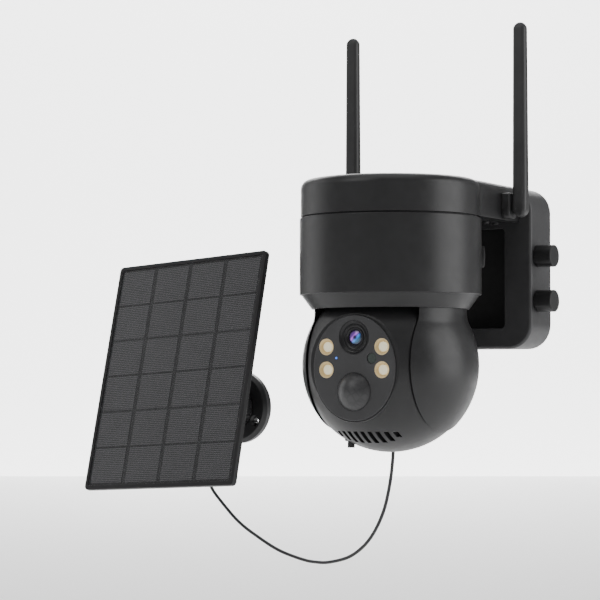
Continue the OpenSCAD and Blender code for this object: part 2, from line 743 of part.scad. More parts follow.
module lock_collar() color("#242426") difference() {
    turned_on_base() difference() {
        translate([0, base_t + 1.2]) square([collar_r, 13.6]);
        translate([0, base_t]) square([cup_r + 0.05, -base_ball_y - base_t + 0.3]);
        translate([0, -base_ball_y]) circle(r = socket_r);
        polygon([[0, 0], [6.5, 0], [6.5, 19.2], [8.2, 21.4], [0, 21.4]]);
    }
    at_base() for (a = [0:20:340]) rotate([0, a, 0]) translate([collar_r + 0.5, 0, 0])
        rotate([90, 0, 0]) cylinder(r = 1, h = 30, $fn = 16);
}

module swivel_liner() color("#c9c9c4") turned_on_base() intersection() {
    translate([0, -base_ball_y]) difference() {
        circle(r = liner_out_r);
        circle(r = liner_in_r);
    }
    translate([0, -base_ball_y - 5.5]) square([20, 9.2]);
}

module ball_stud() color("#3a3a3c") at_panel() {
    sphere(r = stud_ball_r);
    rotate([90, 0, 0]) {
        cylinder(r = 2.8, h = 30, $fn = 48);
        translate([0, 0, 14]) cylinder(r1 = 2.8, r2 = 5, h = 6, $fn = 48);
        translate([0, 0, 20]) cylinder(r = 5, h = panel_reach - panel_t - boss_t - 20, $fn = 48);
    }
}

// origin on the middle of the panel's front rim, face along local -Y
module at_panel_face() at_panel() translate([panel_shift_x, -panel_reach, panel_shift_z]) children();

module panel_boss() color("#2b2b2d") at_panel() rotate([90, 0, 0])
    translate([0, 0, panel_reach - panel_t - boss_t]) {
        cylinder(r1 = 10, r2 = boss_r, h = 3);
        translate([0, 0, 3]) cylinder(r = boss_r, h = boss_t - 3);
    }

module panel_frame() color("#37373a") at_panel_face() rotate([90, 0, 0]) difference() {
    translate([0, 0, -panel_t]) linear_extrude(panel_t) rounded_rect(panel_w, panel_h, 2.5);
    translate([0, 0, -pocket_depth]) linear_extrude(5)
        rounded_rect(panel_w - 2 * frame_lip, panel_h - 2 * frame_lip, 1);
}

module pocket_sheet(depth, t) at_panel_face() rotate([90, 0, 0]) translate([0, 0, -depth])
    linear_extrude(t)
        rounded_rect(panel_w - 2 * frame_lip - 0.2, panel_h - 2 * frame_lip - 0.2, 1);

module cell_backing() color("#414144") pocket_sheet(pocket_depth, 0.5);

module solar_cells() color("#4c4c50") at_panel_face() rotate([90, 0, 0]) {
    field_w = panel_w - 2 * frame_lip - 3;
    field_h = panel_h - 2 * frame_lip - 3;
    cell_w = (field_w - (cell_columns - 1) * column_gap) / cell_columns;
    cell_h = (field_h - (cell_rows - 1) * row_gap) / cell_rows;
    for (i = [0:cell_columns - 1], j = [0:cell_rows - 1])
        translate([-field_w / 2 + i * (cell_w + column_gap), -field_h / 2 + j * (cell_h + row_gap),
                   -pocket_depth + 0.5])
            cube([cell_w, cell_h, 0.25]);
}

module panel_glass() color([0.6, 0.62, 0.65, 0.3]) pocket_sheet(pocket_depth - 0.76, 0.5);

top_cover();
cover_gasket();
drum_shell();
arm_floor();
arm_screws();
bracket_box();
bracket_screws();
wall_plate();
clamp_knob_upper();
clamp_knob_lower();
motor_deck();
pan_motor();
pan_pinion();
pan_washer();
main_board();
battery_cradle();
battery_cells();
power_button();
button_switch();
charge_socket();
charge_plug();
solar_cable();
antenna_mount_left();
antenna_mount_right();
antenna_pins();
antenna_left();
antenna_right();
yoke_shell();
pan_crown();
crown_screws();
pan_gear();
cheek_plate_left();
cheek_plate_right();
tilt_gear();
tilt_pinion();
tilt_motor();
head_front_shell();
head_rear_shell();
face_plate();
lens_barrel();
lens_glass();
led_reflectors();
led_emitters();
indicator_light();
light_sensor();
pir_lens();
pir_sensor();
sensor_board();
speaker();
card_cover();
panel_base();
cable_relief();
lock_collar();
swivel_liner();
ball_stud();
panel_boss();
panel_frame();
cell_backing();
solar_cells();
panel_glass();
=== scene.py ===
"""Looks of the solar-powered security camera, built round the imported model.

The object's lengths are millimetres here, as in the CAD, and become metres in object_of(). Its camera,
lights and stage are placed in metres. The origin is the middle of the camera's wall-plate bolts, on the
wall. +Z is up, and the security camera looks along -Y.
"""
import json
import math

import bmesh
import bpy
from mathutils import Matrix, Vector


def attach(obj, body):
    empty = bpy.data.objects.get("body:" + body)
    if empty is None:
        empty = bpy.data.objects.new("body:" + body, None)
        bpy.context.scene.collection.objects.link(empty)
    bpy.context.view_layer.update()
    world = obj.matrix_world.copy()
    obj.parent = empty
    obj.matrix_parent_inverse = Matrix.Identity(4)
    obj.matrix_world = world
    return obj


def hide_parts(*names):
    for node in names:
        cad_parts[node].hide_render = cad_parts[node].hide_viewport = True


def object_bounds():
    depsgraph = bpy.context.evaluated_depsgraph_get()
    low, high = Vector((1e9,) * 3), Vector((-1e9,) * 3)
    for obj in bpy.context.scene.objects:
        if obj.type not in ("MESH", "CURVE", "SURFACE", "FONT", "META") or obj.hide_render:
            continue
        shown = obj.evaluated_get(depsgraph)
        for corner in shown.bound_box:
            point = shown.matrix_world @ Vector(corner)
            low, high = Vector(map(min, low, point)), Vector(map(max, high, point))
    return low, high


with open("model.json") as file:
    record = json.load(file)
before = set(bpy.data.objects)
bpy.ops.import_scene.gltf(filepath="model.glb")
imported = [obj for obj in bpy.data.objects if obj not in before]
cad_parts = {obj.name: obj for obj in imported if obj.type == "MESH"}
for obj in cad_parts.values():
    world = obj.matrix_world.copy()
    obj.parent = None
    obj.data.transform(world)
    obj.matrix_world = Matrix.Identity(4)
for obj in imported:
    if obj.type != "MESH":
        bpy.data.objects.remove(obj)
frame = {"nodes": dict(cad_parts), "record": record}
cad_low, cad_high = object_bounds()

MM = 0.001
ROOT = "camera_and_wall_base"
JOINTS = {j["name"]: j for j in frame["record"]["behaviour"]["joints"]}


def joint_at(name):
    """A joint's place in millimetres."""
    return Vector(JOINTS[name]["pos_m"]) / MM


# ---------------------------------------------------------------- sizes, mostly those of the CAD

BALL = joint_at("tilt")
DRUM = Vector((BALL.x, BALL.y, 0))
PANEL_BALL = joint_at("panel_tilt")
ANTENNA_PINS = {"left": joint_at("antenna_left_fold"), "right": joint_at("antenna_right_fold")}
KNOBS = {"upper": joint_at("clamp_upper_turn"), "lower": joint_at("clamp_lower_turn")}

# drum and cover; heights are above the wall plate's middle
DRUM_R = 49.3
COVER_R = 48.7
COVER_BOTTOM = 25.4
COVER_TOP = 45.5
COVER_FILLET = 5.0
WALL = 2.2
NECK_R = 41.3
DRUM_TOP, DRUM_FLOOR, CONE_BOTTOM = 24.6, -17.0, -24.6
DRUM_INNER_FLOOR = DRUM_FLOOR + WALL
# half widths of the arm, and how far behind the drum's axis it starts and ends
ARM_FRONT = Vector((45.9, 14.0))
ARM_BACK = Vector((42.6, 71.0))
ARM_BLEND_R = 4.0
# wall bracket, its window, the clamp knobs and the antennas
BOX_W, BOX_H, BOX_D, BOX_R, BOX_WALL = 100.0, 91.0, 25.5, 14.0, 2.5
WINDOW_W, WINDOW_TOP, WINDOW_BOTTOM, WINDOW_R = 66.8, 22.3, -33.8, 2.3
KNOB_R, KNOB_LEN, SHAFT_R, SHAFT_LEN = 6.2, 10.6, 2.0, 12.7
ANTENNA_LEN, FOOT_DROP, TIP_R = 103.5, 4.6, 3.7
# ball: the yoke's cheeks, and the head between them
YOKE_R = 47.9
HEAD_R = 47.0
HEAD_HALF_W = 31.2
HEAD_SPLIT_Y = 14.0
PIVOT_HOLE_R = 6.05
CHEEK_X = 32.0
# face: U runs across it and V up it, from its middle
FACE_FRONT = 39.2
FACE_DROP = 1.6
FACE_A, FACE_B, FACE_T = 25.0, 28.0, 2.0
LENS_V, LENS_R = 16.1, 7.0
# the last two sizes are how far the lens's painted reflection spreads across it, and the radius of its
# ring
BARREL_R, LENS_REFLECTION_SPREAD_R, LENS_REFLECTION_RING_R = 9.1, 3.2, 4.0
LED_R = 4.15
LED_PLACES = [(u, v) for u in (-16.9, 16.9) for v in (11.1, -1.0)]
PIR_V, PIR_R, PIR_RISE = -12.6, 10.1, 5.5
SENSOR_UV, SENSOR_R = (10.8, 5.0), 2.9
INDICATOR_UV, INDICATOR_R = (-10.8, 5.2), 0.6
# vents and card slot, from the ball's middle
VENT_PITCH, VENT_W, VENT_TOP = 4.35, 2.4, -35.3
CARD_SLOT = ((-20.15, -15.2, -50), (-16.45, -6.8, -35))
# fittings in the drum's wall; angles are from straight back
BUTTON_ANGLE, BUTTON_Z, BUTTON_R = 58.0, 4.0, 6.0
SOCKET_ANGLE, SOCKET_Z, SOCKET_HOLE_R, PLUG_REACH = 28.1, 12.0, 3.2, 57.0
# solar panel: its attitude in degrees, and its sizes
PANEL_TURN, PANEL_LEAN, PANEL_ROLL = 7.7, 16.2, 3.4
PANEL_W, PANEL_H, PANEL_T = 118.0, 141.8, 3.8
PANEL_REACH, PANEL_SHIFT = 55.6, (3.6, 6.5)
FRAME_LIP, POCKET = 2.6, 1.4
CELL_COLUMNS, CELL_ROWS, COLUMN_GAP, ROW_GAP = 4, 6, 3.0, 1.3
CELL_MARGIN, CELL_R, LINE_PITCH = 1.5, 0.4, 1.15
# the panel's wall base, ball and boss, and the lead's relief on its rim
BASE_R, BASE_T, BASE_PCD = 22.5, 6.3, 33.0
CUP_R, BOWL_R, BOSS_R, STEM_BALL_R = 11.4, 8.65, 14.0, 8.0
RELIEF_ANGLE, RELIEF_LEN, RELIEF_Y = 245.0, 8.0, -3.2
# UV layers whose UVs are millimetres
LENS_UVS, CELL_UVS = "face_mm", "cell_mm"

# the charging lead: its diameter, and its route by the same points as in the CAD
CABLE_D = 2.0
CABLE_ROUTE = [
    (-27, -46, 0), (-27, -46, -12), (-27, -46, -28), (-27, -46, -44), (-27, -46, -60),
    (-27, -46, -76), (-27, -46, -92), (-27.5, -45.5, -107), (-31.5, -43, -125),
    (-38, -40, -141), (-48, -38, -155.5), (-61, -36, -165), (-76, -34, -169.3),
    (-87, -32, -170), (-98, -30, -169), (-115.5, -28, -164.6), (-132.5, -26, -157),
    (-147, -24, -149), (-160, -22, -138.5), (-171, -18, -129.5), (-177.5, -12, -122),
    (-178.8, -6, -116), (-176.8, -3.4, -112.5), (-174.6, -3.2, -108.4),
]


# ---------------------------------------------------------------- frames

def turn(degrees, axis):
    return Matrix.Rotation(math.radians(degrees), 4, axis)


AT_DRUM = Matrix.Translation(DRUM)
AT_BALL = Matrix.Translation(BALL)
# local +Z out of the face plate, X across it, Y up it
ON_FACE = Matrix.Translation(BALL + Vector((0, -FACE_FRONT, -FACE_DROP))) @ turn(90, "X")
AT_PANEL = (Matrix.Translation(PANEL_BALL) @ turn(-PANEL_TURN, "Z") @ turn(-PANEL_LEAN, "X")
            @ turn(-PANEL_ROLL, "Y"))
# local +Z out of the panel's front rim
ON_PANEL = (AT_PANEL @ Matrix.Translation((PANEL_SHIFT[0], -PANEL_REACH, PANEL_SHIFT[1]))
            @ turn(90, "X"))
# local +Z away from the wall, on the axis of the panel's wall base
ON_BASE = Matrix.Translation((PANEL_BALL.x, 0, PANEL_BALL.z)) @ turn(90, "X")


def on_drum_wall(angle, z):
    """Local +Z radially out of the drum, at an angle from straight back."""
    return Matrix.Translation(DRUM + Vector((0, 0, z))) @ turn(90 - angle, "Z") @ turn(90, "Y")


# ---------------------------------------------------------------- camera and cord

CAMERA_LENS = 126.7
CAMERA_PLACE = (0.56497, -1.09327, -0.06008)
CAMERA_PAN, CAMERA_PITCH = 32.0, 2.03

camera_data = bpy.data.cameras.new("camera")
camera_data.sensor_width = 36.0
camera_data.lens = CAMERA_LENS
camera = bpy.data.objects.new("camera", camera_data)
bpy.context.scene.collection.objects.link(camera)
camera.location = CAMERA_PLACE
camera.rotation_euler = (math.radians(90 + CAMERA_PITCH), 0, math.radians(CAMERA_PAN))
bpy.context.scene.camera = camera


def spline(a, b, c, d, t):
    return 0.5 * (2 * b + (c - a) * t + (2 * a - 5 * b + 4 * c - d) * t * t
                  + (3 * b - a - 3 * c + d) * t ** 3)


def through(points, steps):
    """A smooth line through the points."""
    p = [Vector(q) for q in points]
    line = []
    for i in range(len(p) - 1):
        a, d = p[max(i - 1, 0)], p[min(i + 2, len(p) - 1)]
        line += [spline(a, p[i], p[i + 1], d, s / steps) for s in range(steps)]
    return line + [p[-1]]


cable_line = through(CABLE_ROUTE, 6)
cable_curve = bpy.data.curves.new("charging_lead", "CURVE")
cable_curve.dimensions = "3D"
cable_curve.bevel_depth = CABLE_D / 2 * MM
cable_curve.bevel_resolution = 4
cable_curve.use_fill_caps = True
cable_spline = cable_curve.splines.new("POLY")
cable_spline.points.add(len(cable_line) - 1)
for spline_point, place in zip(cable_spline.points, cable_line):
    spline_point.co = (*(place * MM), 1)
cable = bpy.data.objects.new("charging_lead", cable_curve)
bpy.context.scene.collection.objects.link(cable)


# ---------------------------------------------------------------- materials

def node_tree(name):
    material = bpy.data.materials.new(name)
    material.use_nodes = True
    tree = material.node_tree
    return material, tree, tree.nodes["Principled BSDF"]


def noise(tree, scale, detail=3.0):
    """Noise over the object's own coordinates; scale is in waves per metre."""
    tex = tree.nodes.new("ShaderNodeTexNoise")
    tex.inputs["Scale"].default_value = scale
    tex.inputs["Detail"].default_value = detail
    coordinates = tree.nodes.new("ShaderNodeTexCoord")
    tree.links.new(coordinates.outputs["Object"], tex.inputs["Vector"])
    return tex.outputs["Fac"]


def spread(tree, value, low, high, start=0.3, end=0.7):
    """Stretches a value that runs from start to end, as a noise mostly does, between low and high."""
    rng = tree.nodes.new("ShaderNodeMapRange")
    rng.inputs["From Min"].default_value = start
    rng.inputs["From Max"].default_value = end
    rng.inputs["To Min"].default_value = low
    rng.inputs["To Max"].default_value = high
    tree.links.new(value, rng.inputs["Value"])
    return rng.outputs["Result"]


def ramp(tree, value, *stops):
    """Blends from stop to stop; each is (position, colour), in rising order."""
    node = tree.nodes.new("ShaderNodeValToRGB")
    elements = node.color_ramp.elements
    elements[0].position = stops[0][0]
    elements[1].position = stops[-1][0]
    for position, _ in stops[1:-1]:
        elements.new(position)
    for element, (_, colour) in zip(elements, stops):
        element.color = (*colour, 1)
    tree.links.new(value, node.inputs["Fac"])
    return node.outputs["Color"]


def two_colours(tree, value, dark, light):
    return ramp(tree, value, (0.3, dark), (0.7, light))


def grey(level):
    return (level, level, level)


def over(tree, factor, base, colour):
    """A constant base that gives way to a linked colour as the factor rises."""
    node = tree.nodes.new("ShaderNodeMix")
    node.data_type = "RGBA"
    node.inputs["A"].default_value = (*base, 1)
    tree.links.new(factor, node.inputs["Factor"])
    tree.links.new(colour, node.inputs["B"])
    return node.outputs["Result"]


def maths(tree, operation, value, other):
    """One operation on a linked value and a number."""
    node = tree.nodes.new("ShaderNodeMath")
    node.operation = operation
    tree.links.new(value, node.inputs[0])
    node.inputs[1].default_value = other
    return node.outputs[0]


def layer_coordinates(tree, layer):
    """A UV layer's vector, and its X and its Y apart."""
    uv = tree.nodes.new("ShaderNodeUVMap")
    uv.uv_map = layer
    split = tree.nodes.new("ShaderNodeSeparateXYZ")
    tree.links.new(uv.outputs["UV"], split.inputs["Vector"])
    return uv.outputs["UV"], split.outputs["X"], split.outputs["Y"]


def bump(tree, shader, height, strength, depth_mm):
    node = tree.nodes.new("ShaderNodeBump")
    node.inputs["Strength"].default_value = strength
    node.inputs["Distance"].default_value = depth_mm * MM
    tree.links.new(height, node.inputs["Height"])
    tree.links.new(node.outputs["Normal"], shader.inputs["Normal"])


def glow(shader, colour, strength):
    shader.inputs["Emission Color"].default_value = (*colour, 1)
    shader.inputs["Emission Strength"].default_value = strength


def textured(name, colour, rough, grain=2600.0, grain_depth=0.02, vary=0.12, metallic=0.0,
             specular=0.5):
    """Moulded or painted surface: fine grain, and slow changes of colour and of gloss."""
    material, tree, shader = node_tree(name)
    dark = [c * (1 - vary) for c in colour]
    light = [c * (1 + vary) for c in colour]
    cloud = noise(tree, 60.0, 4.0)
    tree.links.new(two_colours(tree, cloud, dark, light), shader.inputs["Base Color"])
    tree.links.new(spread(tree, noise(tree, 240.0, 5.0), rough - 0.04, rough + 0.05),
                   shader.inputs["Roughness"])
    shader.inputs["Metallic"].default_value = metallic
    shader.inputs["Specular IOR Level"].default_value = specular
    bump(tree, shader, noise(tree, grain, 2.0), 0.35, grain_depth)
    return material


HOUSING = textured("housing_abs", (0.020, 0.020, 0.021), 0.36)
# painted light: the box is the same black plastic as the housing, made lighter to stand in for the fill
# light that the drum shades from its front
BOX_PAINTED_FILL = textured("box_abs_painted_fill", (0.050, 0.050, 0.052), 0.4)
YOKE = textured("yoke_abs", (0.019, 0.019, 0.020), 0.34)
KNOB = textured("knob_abs", (0.017, 0.017, 0.018), 0.36, grain=3200)
FACE = textured("face_polycarbonate", (0.050, 0.050, 0.052), 0.5, grain=3800, grain_depth=0.012)
ANTENNA = textured("antenna_tpe", (0.036, 0.036, 0.037), 0.38, grain=3000)
RUBBER = textured("seal_rubber", (0.014, 0.014, 0.015), 0.62, grain=1800, grain_depth=0.03)
JACKET = textured("lead_jacket", (0.030, 0.030, 0.032), 0.42, grain=2400)
INNER = textured("inner_plastic", (0.05, 0.05, 0.052), 0.55)
NYLON = textured("natural_nylon", (0.72, 0.69, 0.60), 0.4, grain=1500)
STEEL = textured("zinc_screw", (0.52, 0.52, 0.54), 0.34, metallic=1.0, grain=900)
BLACK_STEEL = textured("black_screw", (0.02, 0.02, 0.021), 0.4, grain=900)
CAN = textured("motor_can", (0.56, 0.57, 0.60), 0.3, metallic=1.0, grain=1400)
PLATE = textured("powder_coat", (0.018, 0.018, 0.019), 0.48, grain=1300, grain_depth=0.05)
BOARD = textured("solder_mask", (0.015, 0.11, 0.04), 0.3, grain=700)
WRAP = textured("cell_wrap", (0.04, 0.13, 0.33), 0.28, grain=400)
BARREL = textured("lens_barrel_black", (0.010, 0.010, 0.011), 0.3, grain=3000)
CUP = textured("lamp_cup", (0.88, 0.70, 0.40), 0.3, grain=900, vary=0.05)
TRAY = textured("panel_tray", (0.015, 0.015, 0.016), 0.4, specular=0.35)
BACKING = textured("panel_laminate", (0.016, 0.016, 0.018), 0.4, grain=1200, vary=0.06)
BRACKET = textured("bracket_abs", (0.018, 0.018, 0.019), 0.34)


def lamp_material():
    """Pale phosphor with a fine crystal grain, faintly lit."""
    material, tree, shader = node_tree("lamp_phosphor")
    tree.links.new(two_colours(tree, noise(tree, 3000.0), (0.80, 0.74, 0.48), (0.95, 0.92, 0.74)),
                   shader.inputs["Base Color"])
    shader.inputs["Roughness"].default_value = 0.35
    shader.inputs["Coat Weight"].default_value = 0.6
    glow(shader, (1.0, 0.93, 0.68), 0.4)
    bump(tree, shader, noise(tree, 5000.0), 0.2, 0.02)
    return material


def pir_material():
    """Milky dark film with the faint cells of a lens array."""
    material, tree, shader = node_tree("pir_film")
    coordinates = tree.nodes.new("ShaderNodeTexCoord")
    cells = tree.nodes.new("ShaderNodeTexVoronoi")
    cells.feature = "DISTANCE_TO_EDGE"
    cells.inputs["Scale"].default_value = 300.0
    tree.links.new(coordinates.outputs["Object"], cells.inputs["Vector"])
    edge_distance = cells.outputs["Distance"]
    tree.links.new(ramp(tree, edge_distance, (0.0, (0.045, 0.045, 0.047)), (0.2, (0.058, 0.058, 0.060))),
                   shader.inputs["Base Color"])
    shader.inputs["Roughness"].default_value = 0.33
    bump(tree, shader, edge_distance, 0.12, 0.12)
    return material


def lens_material():
    """Coated front element with its reflection painted on: violet at one side turning to cyan, dark at
    its middle and its rim, and a faint painted glow though it is no lamp.
    """
    material, tree, shader = node_tree("lens_coating")
    vector, x, y = layer_coordinates(tree, LENS_UVS)
    across = tree.nodes.new("ShaderNodeMath")
    across.operation = "SUBTRACT"
    tree.links.new(x, across.inputs[0])
    tree.links.new(y, across.inputs[1])
    # painted reflection: the coating's violet and cyan, laid across the lens from one side to the other
    reflection_hue = ramp(tree, spread(tree, across.outputs[0], 0, 1, -LENS_REFLECTION_SPREAD_R, LENS_REFLECTION_SPREAD_R),
               (0.1, (0.10, 0.03, 0.22)), (0.3, (0.50, 0.16, 0.80)), (0.5, (0.12, 0.05, 0.45)),
               (0.68, (0.03, 0.30, 0.95)), (0.92, (0.01, 0.10, 0.20)))
    length = tree.nodes.new("ShaderNodeVectorMath")
    length.operation = "LENGTH"
    tree.links.new(vector, length.inputs[0])
    # painted reflection: a bright ring, dark at the lens's middle and at its rim
    ring = ramp(tree, maths(tree, "DIVIDE", length.outputs["Value"], LENS_REFLECTION_RING_R),
                (0.16, grey(0.05)), (0.36, grey(0.85)), (0.62, grey(1.0)), (0.8, grey(0.25)),
                (0.95, grey(0.0)))
    shade = over(tree, ring, (0.008, 0.006, 0.02), reflection_hue)
    tree.links.new(shade, shader.inputs["Base Color"])
    tree.links.new(shade, shader.inputs["Emission Color"])
    # painted light: the lens glows a little of itself, though it is no lamp
    shader.inputs["Emission Strength"].default_value = 0.7
    tree.links.new(spread(tree, noise(tree, 900.0), 0.03, 0.05), shader.inputs["Roughness"])
    shader.inputs["Coat Weight"].default_value = 1.0
    bump(tree, shader, noise(tree, 900.0), 0.02, 0.002)
    return material


def plain_gloss(name, colour, rough, emission=0.0):
    """Smooth coloured window, with a light of its own where emission is above 0."""
    material, tree, shader = node_tree(name)
    tree.links.new(two_colours(tree, noise(tree, 900.0), [c * 0.9 for c in colour],
                               [c * 1.1 for c in colour]), shader.inputs["Base Color"])
    tree.links.new(spread(tree, noise(tree, 900.0), rough - 0.02, rough + 0.02),
                   shader.inputs["Roughness"])
    shader.inputs["Coat Weight"].default_value = 0.5
    bump(tree, shader, noise(tree, 2200.0), 0.05, 0.003)
    if emission:
        glow(shader, colour, emission)
    return material


def cell_material():
    """Dark silicon with fine pale lines printed across each cell."""
    material, tree, shader = node_tree("silicon_cells")
    _, _, y = layer_coordinates(tree, CELL_UVS)
    to_line = maths(tree, "PINGPONG", y, LINE_PITCH / 2)
    stripe = spread(tree, to_line, 0, 1, 0.16, 0.28)
    silicon = two_colours(tree, noise(tree, 180.0, 6.0), (0.034, 0.034, 0.037),
                          (0.044, 0.044, 0.048))
    tree.links.new(over(tree, stripe, (0.125, 0.125, 0.13), silicon), shader.inputs["Base Color"])
    tree.links.new(spread(tree, noise(tree, 500.0, 4.0), 0.35, 0.41), shader.inputs["Roughness"])
    bump(tree, shader, noise(tree, 1800.0), 0.05, 0.003)
    return material


def glass_material():
    """Thin satin laminate over the cells."""
    material, tree, shader = node_tree("cover_laminate")
    tree.links.new(two_colours(tree, noise(tree, 400.0), (0.10, 0.10, 0.105), (0.14, 0.14, 0.145)),
                   shader.inputs["Base Color"])
    shader.inputs["Alpha"].default_value = 0.1
    tree.links.new(spread(tree, noise(tree, 500.0, 4.0), 0.24, 0.32), shader.inputs["Roughness"])
    bump(tree, shader, noise(tree, 2200.0), 0.05, 0.003)
    return material


LAMP = lamp_material()
PIR = pir_material()
# the lens's colours are a painted reflection, with a painted glow
LENS = lens_material()
INDICATOR = plain_gloss("indicator_blue", (0.05, 0.22, 0.95), 0.2, 1.2)
SENSOR = plain_gloss("sensor_window", (0.055, 0.070, 0.062), 0.18)
CELLS = cell_material()
GLASS = glass_material()


# ---------------------------------------------------------------- mesh building

def rounded(points, radii, steps=5):
    """A closed outline with its corners rounded; radii is one number, or one for each corner."""
    pts = [Vector(p) for p in points]
    if isinstance(radii, (int, float)):
        radii = [radii] * len(pts)
    out = []
    for i, corner in enumerate(pts):
        r = radii[i]
        to_last = pts[i - 1] - corner
        to_next = pts[(i + 1) % len(pts)] - corner
        if r <= 0:
            out.append(corner)
            continue
        half = to_last.angle(to_next) / 2
        cut = min(r / math.tan(half), 0.48 * to_last.length, 0.48 * to_next.length)
        a = corner + to_last.normalized() * cut
        b = corner + to_next.normalized() * cut
        for s in range(steps + 1):
            t = s / steps
            out.append(a * (1 - t) ** 2 + corner * 2 * t * (1 - t) + b * t * t)
    return out


def lathe(profile, segments=96):
    """Closed (radius, height) outline turned about Z."""
    verts, rings, faces = [], [], []
    for r, z in profile:
        if r < 1e-6:
            rings.append([len(verts)])
            verts.append((0, 0, z))
            continue
        rings.append(list(range(len(verts), len(verts) + segments)))
        for k in range(segments):
            a = 2 * math.pi * k / segments
            verts.append((r * math.cos(a), r * math.sin(a), z))
    for i, ring in enumerate(rings):
        after = rings[(i + 1) % len(rings)]
        if len(ring) == 1 and len(after) == 1:
            continue
        for k in range(segments):
            k2 = (k + 1) % segments
            if len(ring) == 1:
                faces.append((ring[0], after[k2], after[k]))
            elif len(after) == 1:
                faces.append((ring[k], ring[k2], after[0]))
            else:
                faces.append((ring[k], ring[k2], after[k2], after[k]))
    return verts, faces


def loft(rings, capped=True):
    """Rings of equal length joined in order; each ring is a list of 3-D points."""
    n = len(rings[0])
    verts = [tuple(p) for ring in rings for p in ring]
    faces = [(i * n + k, i * n + (k + 1) % n, (i + 1) * n + (k + 1) % n, (i + 1) * n + k)
             for i in range(len(rings) - 1) for k in range(n)]
    if capped:
        faces.append(tuple(reversed(range(n))))
        faces.append(tuple(range((len(rings) - 1) * n, len(rings) * n)))
    return verts, faces


def joined(*solids):
    """Several (verts, faces) as one."""
    verts, faces = [], []
    for v, f in solids:
        base = len(verts)
        verts += v
        faces += [tuple(i + base for i in face) for face in f]
    return verts, faces


def moved(solid, matrix):
    verts, faces = solid
    return [tuple(matrix @ Vector(v)) for v in verts], faces


def object_of(name, solid, matrix=Matrix.Identity(4)):
    """A Blender object from a solid in millimetres, with its normals made consistent."""
    verts, faces = solid
    mesh = bpy.data.meshes.new(name)
    mesh.from_pydata([tuple(matrix @ Vector(v) * MM) for v in verts], [], faces)
    work = bmesh.new()
    work.from_mesh(mesh)
    bmesh.ops.remove_doubles(work, verts=work.verts, dist=1e-7)
    bmesh.ops.recalc_face_normals(work, faces=work.faces)
    work.to_mesh(mesh)
    work.free()
    obj = bpy.data.objects.new(name, mesh)
    bpy.context.scene.collection.objects.link(obj)
    return obj


def applied(obj):
    """Bakes an object's modifiers into its mesh."""
    graph = bpy.context.evaluated_depsgraph_get()
    mesh = bpy.data.meshes.new_from_object(obj.evaluated_get(graph))
    obj.modifiers.clear()
    obj.data = mesh


def combine(obj, solid, matrix, operation):
    """Adds a solid to an object or takes it away, exactly."""
    tool = object_of("tool", solid, matrix)
    modifier = obj.modifiers.new("combine", "BOOLEAN")
    modifier.operation = operation
    modifier.solver = "EXACT"
    modifier.object = tool
    applied(obj)
    bpy.data.objects.remove(tool)


def cut(obj, solid, matrix=Matrix.Identity(4)):
    combine(obj, solid, matrix, "DIFFERENCE")


def add(obj, solid, matrix=Matrix.Identity(4)):
    combine(obj, solid, matrix, "UNION")


def soften(obj, width, angle=35.0):
    """Rounds an object's sharp edges with modifiers that leave its own mesh alone."""
    weld = obj.modifiers.new("weld", "WELD")
    weld.merge_threshold = 2e-6
    bevel = obj.modifiers.new("edge_rounding", "BEVEL")
    bevel.width = width * MM
    bevel.segments = 2
    bevel.limit_method = "ANGLE"
    bevel.angle_limit = math.radians(angle)
    bevel.use_clamp_overlap = True
    bevel.harden_normals = True


def lay_uvs(obj, name, matrix):
    """A UV layer in millimetres across and up a piece, as its own frame has them."""
    layer = obj.data.uv_layers.new(name=name)
    back = matrix.inverted()
    for loop in obj.data.loops:
        p = back @ (obj.data.vertices[loop.vertex_index].co / MM)
        layer.data[loop.index].uv = (p.x, p.y)


def finished(obj, body, material, replaces=(), smooth=40.0):
    """Shades, paints and attaches a piece; smooth is the angle from which an edge stays sharp."""
    obj.data.materials.clear()
    obj.data.materials.append(material)
    obj.data.polygons.foreach_set("use_smooth", [True] * len(obj.data.polygons))
    obj.data.set_sharp_from_angle(angle=math.radians(smooth))
    flat = obj.modifiers.new("flat_faces", "WEIGHTED_NORMAL")
    flat.keep_sharp = True
    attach(obj, body)
    if replaces:
        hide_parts(*replaces)
    return obj


def make(name, solid, matrix, body, material, replaces=(), smooth=40.0):
    return finished(object_of(name, solid, matrix), body, material, replaces, smooth)


def box(low, high):
    (x0, y0, z0), (x1, y1, z1) = low, high
    return loft([[(x0, y0, z), (x1, y0, z), (x1, y1, z), (x0, y1, z)] for z in (z0, z1)])


def cylinder(r, z0, z1, segments=64):
    return lathe([(0, z0), (r, z0), (r, z1), (0, z1)], segments)


def rect_ring(w, h, r, z, steps=8):
    """Rounded rectangle at height z, the same count of points whatever its size."""
    r = min(r, w / 2 - 0.01, h / 2 - 0.01)
    ring = []
    for quadrant, (sx, sy) in enumerate(((1, 1), (-1, 1), (-1, -1), (1, -1))):
        for s in range(steps + 1):
            a = math.radians(90 * quadrant + 90 * s / steps)
            ring.append((sx * (w / 2 - r) + r * math.cos(a), sy * (h / 2 - r) + r * math.sin(a), z))
    return ring


def ellipse_ring(a, b, z, count=128):
    return [(a * math.cos(2 * math.pi * k / count), b * math.sin(2 * math.pi * k / count), z)
            for k in range(count)]


def quarter(steps):
    """Sine and cosine at even steps through a quarter turn."""
    angles = [math.radians(90 * s / steps) for s in range(steps + 1)]
    return [(math.sin(a), math.cos(a)) for a in angles]


def arc(radius, start, end, steps, centre=(0, 0)):
    """Points of an arc, angles in degrees."""
    return [(centre[0] + radius * math.cos(math.radians(start + (end - start) * s / steps)),
             centre[1] + radius * math.sin(math.radians(start + (end - start) * s / steps)))
            for s in range(steps + 1)]


# ---------------------------------------------------------------- camera housing

